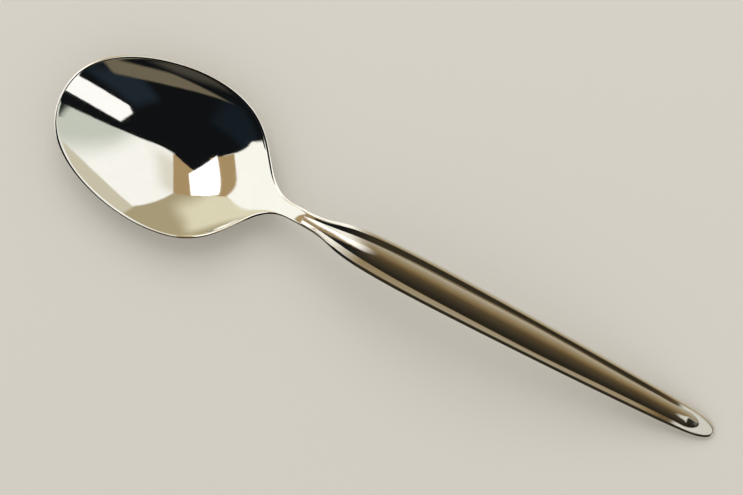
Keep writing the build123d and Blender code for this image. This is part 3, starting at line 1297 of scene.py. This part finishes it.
@dataclass
class Studio:
    """Pale floor, soft light, a tent and a sleeve of painted reflections for the steel to mirror,
    and the camera.

    Fades and zones of the sleeve are spans along X, and turns are in degrees from straight up
    towards +Y.
    """

    handle: Handle

    # Floor and light
    floor_colour: str = "#DEDAD2"
    floor_size: float = 4000.0
    floor_roughness: float = 0.95
    floor_gloss: float = 0.1
    sky_colour: str = "#F4F2EE"
    sky_strength: float = 0.78
    key_place: tuple[float, float, float] = (-350.0, 620.0, 900.0)
    key_size: float = 900.0
    key_power: float = 4.0

    # Tent round the spoon
    tent_colour: str = "#121416"
    tent_radius: float = 6000.0
    tent_foot: float = -2.0
    tent_steps: tuple[int, int] = (73, 24)

    # Sleeve over the handle, painted with the shading and highlights that the handle mirrors
    sleeve_radius: float = 20.0
    sleeve_turn: float = 100.0
    sleeve_steps: tuple[int, int] = (80, 61)
    sleeve_span: tuple[float, float] = (-48.0, 200.0)
    sleeve_fade: tuple[float, float] = (-25.0, -12.0)
    # Pale flap near the neck, a painted highlight on the handle there
    neck_fade: tuple[float, float] = (-46.0, -38.0)
    neck_zone: tuple[float, float] = (-14.0, -26.0)
    neck_turn: tuple[float, float] = (16.0, 30.0)
    neck_colour: str = "#FFFFFA"
    neck_strength: float = 1.35
    # Painted glint at the tip, then painted shade on the band's nose, then pale again
    glint_zone: tuple[float, float] = (104.0, 109.5)
    glint_turn: tuple[float, float] = (4.0, 34.0)
    pale_colour: str = "#FFFFFA"
    dark_zone: tuple[float, float] = (110.0, 138.0)
    dark_turn: tuple[float, float] = (38.0, 18.0)
    dark_colour: str = "#2E2920"
    zone_edge: float = 2.0

    # Camera
    camera_place: tuple[float, float, float] = (6.7, -2.0, 414.1)
    camera_aim: tuple[float, float, float] = (-6.4, 1.5, 8.0)
    camera_turn: float = 27.7
    camera_lens: float = 72.7
    camera_near: float = 10.0

    def cards(self) -> list[Card]:
        """The panels of the tent, which leave the rest of it dark.

        Returns:
            Panels from the farthest to the nearest, each over the one before.
        """
        return [
            # Brown panels low on the near side and past the handle, and two dark cool ones
            Card("#4A4740", ((-133, -11), (-87, 17), (-49, 15), (-40, -8)), softness=0.14),
            Card("#6B5F4A", ((-28, -20), (-28, 8), (28, 8), (28, -20)), softness=0.1),
            Card("#222C35", ((-40, 44), (-58, 40), (-62, 50), (-44, 55)), softness=0.14),
            Card("#182129", ((-118, 22), (-140, 16), (-142, 30), (-124, 38)), softness=0.18),
            # Cream panel behind all others on the far side
            Card("#DAD4BE", ((11, -62), (45, 75), (178, 20), (178, -20))),
            # White panel overhead, shaded at both ends
            Card(
                "#FFFFFC",
                ((14, 49), (54, 86), (155, 81), (122, 47), (96, 22), (44, 38)),
                strength=1.12,
                softness=0.03,
                shades=(
                    Card("#D4DAD0", ((8, 36), (10, 62), (22, 60), (40, 40)), softness=0.3),
                    Card("#F0EDE0", ((126, 72), (126, 54), (119, 56), (116, 74)), softness=0.24),
                ),
            ),
            # White panel past the bowl's tip, and a tan one that is lightest in its middle
            Card(
                "#FFFFFA",
                ((-157, 49), (152, 46), (145, 6), (145, -20), (-146, -20), (-144, -6), (-143, 21)),
                strength=1.15,
            ),
            Card(
                "#B6AA88",
                ((122, 47), (160, 40), (146, 8), (139, -8), (93, -20), (97, 22)),
                softness=0.03,
                shades=(
                    Card("#EEE8CC", ((130, 33), (156, 40), (152, 13), (132, 18)), softness=0.25),
                ),
            ),
            # Brightest panel between two brown strips
            Card("#B69B70", ((155, 81), (160, 62), (144, 45), (122, 48))),
            Card("#B69B70", ((-165, 57), (-153, 43), (160, 40), (150, 46))),
            Card("#FFFFFF", ((152, 62), (-161, 54), (158, 43), (138, 47)), strength=1.9),
            # White panel over the handle, and a narrow brown one on the near side
            Card("#FFFFFF", ((-22, 41), (-32, 59), (-27, 63), (-2, 63), (-4, 41)), strength=1.2),
            Card(
                "#756D5A",
                ((-50, 40), (-80, 35), (-108, 21), (-84, 25), (-52, 34)),
                softness=0.04,
            ),
        ]

    def painted_shading(self) -> dict[float, str]:
        """Tones of painted shading across the sleeve, by the turn, which the handle's steel mirrors
        as its dark and light sides.

        Returns:
            Colours in sRGB, from the dark near side through brown to the pale far side.
        """
        return {
            -85: "#29271F",
            -56: "#383228",
            -27: "#4C4333",
            -14: "#574A34",
            0: "#635338",
            14: "#806B47",
            27: "#9A8560",
            41: "#AC9974",
            56: "#BCB098",
            90: "#DDD8C8",
        }

    def surface(
        self, name: str, points: Array, material: bpy.types.Material, mirrored_only: bool = False
    ) -> bpy.types.Object:
        """Makes a surface of the studio from a grid of points.

        Args:
            name: Name of the surface.
            points: Rows by columns by three, in millimetres.
            material: What it is made of.
            mirrored_only: Whether it shows in reflections and nowhere else.

        Returns:
            The surface, marked as stage.
        """
        rows, columns, _ = points.shape
        index = np.arange(rows * columns).reshape(rows, columns)
        corners = [index[:-1, :-1], index[1:, :-1], index[1:, 1:], index[:-1, 1:]]
        mesh = bpy.data.meshes.new(name)
        faces = np.stack(corners, -1).reshape(-1, 4).tolist()
        mesh.from_pydata(points.reshape(-1, 3) * MM, [], faces)
        piece = add_object(name, mesh)
        dress(piece, material)
        piece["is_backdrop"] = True
        if mirrored_only:
            piece.visible_camera = False
            piece.visible_diffuse = False
            piece.visible_shadow = False
            piece.visible_transmission = False
        return piece

    def floor(self, height: float) -> None:
        """Lays the floor under the spoon.

        Args:
            height: Height of the floor.
        """
        material, graph = new_material("matt_paper")
        surface = {"Base Color": linear(self.floor_colour), "Roughness": self.floor_roughness}
        surface["Specular IOR Level"] = self.floor_gloss
        graph.finish(graph.out("BsdfPrincipled", surface))
        side = np.array([-0.5, 0.5]) * self.floor_size
        x, y = np.meshgrid(side, side, indexing="ij")
        self.surface("floor", np.stack([x, y, np.full_like(x, height)], -1), material)

    def tent(self) -> None:
        """Spans a dome of panels over the spoon, which shows in the steel alone.

        A point is the radius times the unit vector of its azimuth and elevation.
        """
        material, graph = new_material("tent_panels")
        way = graph.out("VectorMath", {0: graph.place()}, operation="NORMALIZE")
        colour = linear(self.tent_colour)
        for card in self.cards():
            colour = card.lay(graph, way, colour)
        graph.finish(graph.out("Emission", {"Color": colour}))
        around, up = self.tent_steps
        turn, tilt = np.linspace(0, 360, around), np.linspace(self.tent_foot, 90, up)
        dome = self.tent_radius * towards(*np.meshgrid(turn, tilt, indexing="ij"))
        self.surface("tent", dome, material, mirrored_only=True)

    def turn_share(self, turn: Values | tuple[float, float]) -> Values:
        """Share of the sleeve's width at a turn, from 0 at the near edge to 1 at the far one."""
        return 0.5 + np.asarray(turn) / (2 * self.sleeve_turn)

    def sleeve_material(self) -> bpy.types.Material:
        """Makes the painted reflections of the sleeve: tones of painted shading that run across it,
        with zones along it.

        It is clear towards the neck, but for a pale flap on the far side, a painted highlight on
        the handle near the neck. Where the handle's tip mirrors it, it is pale from a point that
        widens, a painted glint on the band's crest and the border there. Past that its near side is
        dark, a painted shade on the band's nose, and its far end is pale again.

        Returns:
            A glowing material that reads object coordinates and the turn attribute.
        """
        material, graph = new_material("sleeve_painted_reflections")
        along = graph.out("SeparateXYZ", {0: graph.place()}, "X")
        turn = graph.attribute("turn")
        ramp = graph.node("ValToRGB", {0: turn})
        stops = ramp.color_ramp.elements
        for number, (angle, tone) in enumerate(self.painted_shading().items()):
            # A new ramp comes with two stops
            stop = stops[number] if number < 2 else stops.new(1.0)
            stop.position = self.turn_share(angle)
            stop.color = linear(tone)
        colour = ramp.outputs[0]
        start, stop = np.multiply(self.glint_zone, MM)
        narrow, wide = np.divide(self.glint_turn, 2 * self.sleeve_turn)
        flare = {"From Min": start, "From Max": stop, "To Min": narrow, "To Max": wide}
        reach = graph.out("MapRange", {"Value": along, **flare})
        middle = graph.math("COMPARE", turn, self.turn_share(0.0), reach)
        near = graph.step(turn, *self.turn_share(self.dark_turn))
        far = graph.step(turn, *self.turn_share(self.neck_turn))
        edge = np.array([0.0, self.zone_edge])
        pale = linear(self.pale_colour)
        # Painted reflections along the handle: a highlight near the neck, a glint at the tip, shade
        # on the band's nose, and pale past it
        zones = [
            (self.neck_zone, linear(self.neck_colour, self.neck_strength), far),
            (self.glint_zone[0] + edge, pale, middle),
            (self.dark_zone[0] + edge, linear(self.dark_colour), near),
            (self.dark_zone[1] + edge, pale, 1.0),
        ]
        for span, tint, width in zones:
            share = graph.math("MULTIPLY", graph.step(along, *np.multiply(span, MM)), width)
            colour = graph.mix(share, colour, tint)
        glow = graph.out("Emission", {"Color": colour})
        clear = graph.out("BsdfTransparent", {})
        sheet = graph.step(along, *np.multiply(self.sleeve_fade, MM))
        flap = graph.math("MULTIPLY", graph.step(along, *np.multiply(self.neck_fade, MM)), far)
        cover = graph.math("MAXIMUM", sheet, flap)
        graph.finish(graph.out("MixShader", {0: cover, 1: clear, 2: glow}))
        return material

    def sleeve(self) -> None:
        """Bends a sheet of painted reflections over the handle, which shows in the steel alone.

        A point lies on a circle round the handle's middle line: across by the radius times the
        sine of its turn, and above the line by the radius times the cosine.
        """
        count, around = self.sleeve_steps
        turn = np.linspace(-self.sleeve_turn, self.sleeve_turn, around)
        x, a = np.meshgrid(np.linspace(*self.sleeve_span, count), np.radians(turn), indexing="ij")
        middle = self.handle.height(x - self.handle.shoulder_x)
        radius = self.sleeve_radius
        points = np.stack([x, radius * np.sin(a), middle + radius * np.cos(a)], -1)
        piece = self.surface("sleeve", points, self.sleeve_material(), mirrored_only=True)
        write_values(piece.data, "turn", np.tile(self.turn_share(turn), count))

    def sky(self) -> None:
        """Lights the floor evenly from all sides."""
        world = bpy.data.worlds.new("studio")
        bpy.context.scene.world = world
        world.use_nodes = True
        graph = Graph(world.node_tree)
        even = {"Color": linear(self.sky_colour), "Strength": self.sky_strength}
        graph.finish(graph.out("Background", even), "OutputWorld")

    def lamp(self) -> None:
        """Hangs the key lamp, a large soft panel that the steel doesn't mirror."""
        light = bpy.data.lights.new("key", "AREA")
        light.size = self.key_size * MM
        light.energy = self.key_power
        key = add_object("key", light)
        key.location = Vector(self.key_place) * MM
        key.rotation_euler = (-key.location).to_track_quat("-Z", "Y").to_euler()
        key.visible_glossy = False

    def camera(self) -> None:
        """Sets up the camera nearly overhead, turned so that the spoon lies as photographed."""
        data = bpy.data.cameras.new("camera")
        data.lens = self.camera_lens
        data.clip_start = self.camera_near * MM
        place, aim = Vector(self.camera_place) * MM, Vector(self.camera_aim) * MM
        turn = math.radians(self.camera_turn)
        back = (place - aim).normalized()
        right = Vector((-math.sin(turn), math.cos(turn), 0)).cross(back).normalized()
        axes = Matrix((right, back.cross(right), back)).transposed()
        eye = add_object("camera", data)
        eye.matrix_world = Matrix.Translation(place) @ axes.to_4x4()
        bpy.context.scene.camera = eye

    def build(self, height: float) -> None:
        """Builds the floor, what the steel mirrors, the light and the camera.

        Args:
            height: Height of the floor.
        """
        self.floor(height)
        self.tent()
        self.sleeve()
        self.sky()
        self.lamp()
        self.camera()
        bpy.context.scene.view_settings.view_transform = "Standard"


def main() -> None:
    """Builds the spoon and its studio."""
    logging.basicConfig(level=logging.INFO, format="%(name)s: %(message)s")
    cad_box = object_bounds()
    bowl = Bowl(tip_x=cad_box[0][0] / MM)
    handle = Handle(bowl)
    Spoon(bowl, handle).build()
    Studio(handle).build(height=cad_box[0][2] / MM)


if __name__ == "__main__":
    main()
